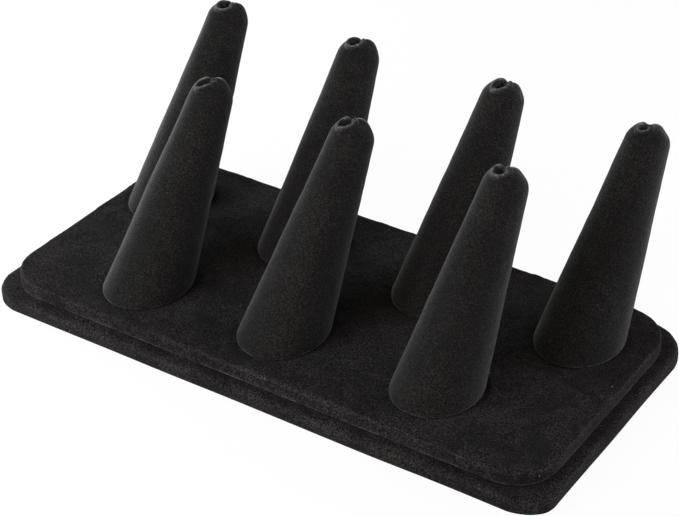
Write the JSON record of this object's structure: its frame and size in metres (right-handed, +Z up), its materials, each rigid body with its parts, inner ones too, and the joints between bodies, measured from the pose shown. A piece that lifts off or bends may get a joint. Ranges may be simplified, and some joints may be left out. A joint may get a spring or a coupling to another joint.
{
  "type": "ring display stand",
  "caption": "Velvet-covered jewellery stand: a low stepped rectangular base with two staggered rows of leaning tapered fingers that hold finger rings.",
  "frame": {"origin": "centre of the base's underside, on the surface that it stands on", "axes": "+Z up, +X along the base's long side, +Y towards the back, the way the fingers lean"},
  "size_m": [0.2276, 0.1283, 0.0799],
  "materials": {
    "velvet": "black pile velvet, brushed in soft patches",
    "felt": "thin black felt",
    "fibreboard": "raw medium-density fibreboard",
    "core_wood": "turned pale wood",
    "screw_steel": "plated steel"
  },
  "bodies": {
    "root": {"lower_board": "fibreboard", "upper_board": "fibreboard", "lower_cover": "velvet", "upper_cover": "velvet", "bottom_lining": "felt", "finger_screws": "screw_steel", "finger_core_back_1": "core_wood", "finger_cover_back_1": "velvet", "finger_core_back_2": "core_wood", "finger_cover_back_2": "velvet", "finger_core_back_3": "core_wood", "finger_cover_back_3": "velvet", "finger_core_back_4": "core_wood", "finger_cover_back_4": "velvet", "finger_core_front_1": "core_wood", "finger_cover_front_1": "velvet", "finger_core_front_2": "core_wood", "finger_cover_front_2": "velvet", "finger_core_front_3": "core_wood", "finger_cover_front_3": "velvet"}
  },
  "joints": []
}
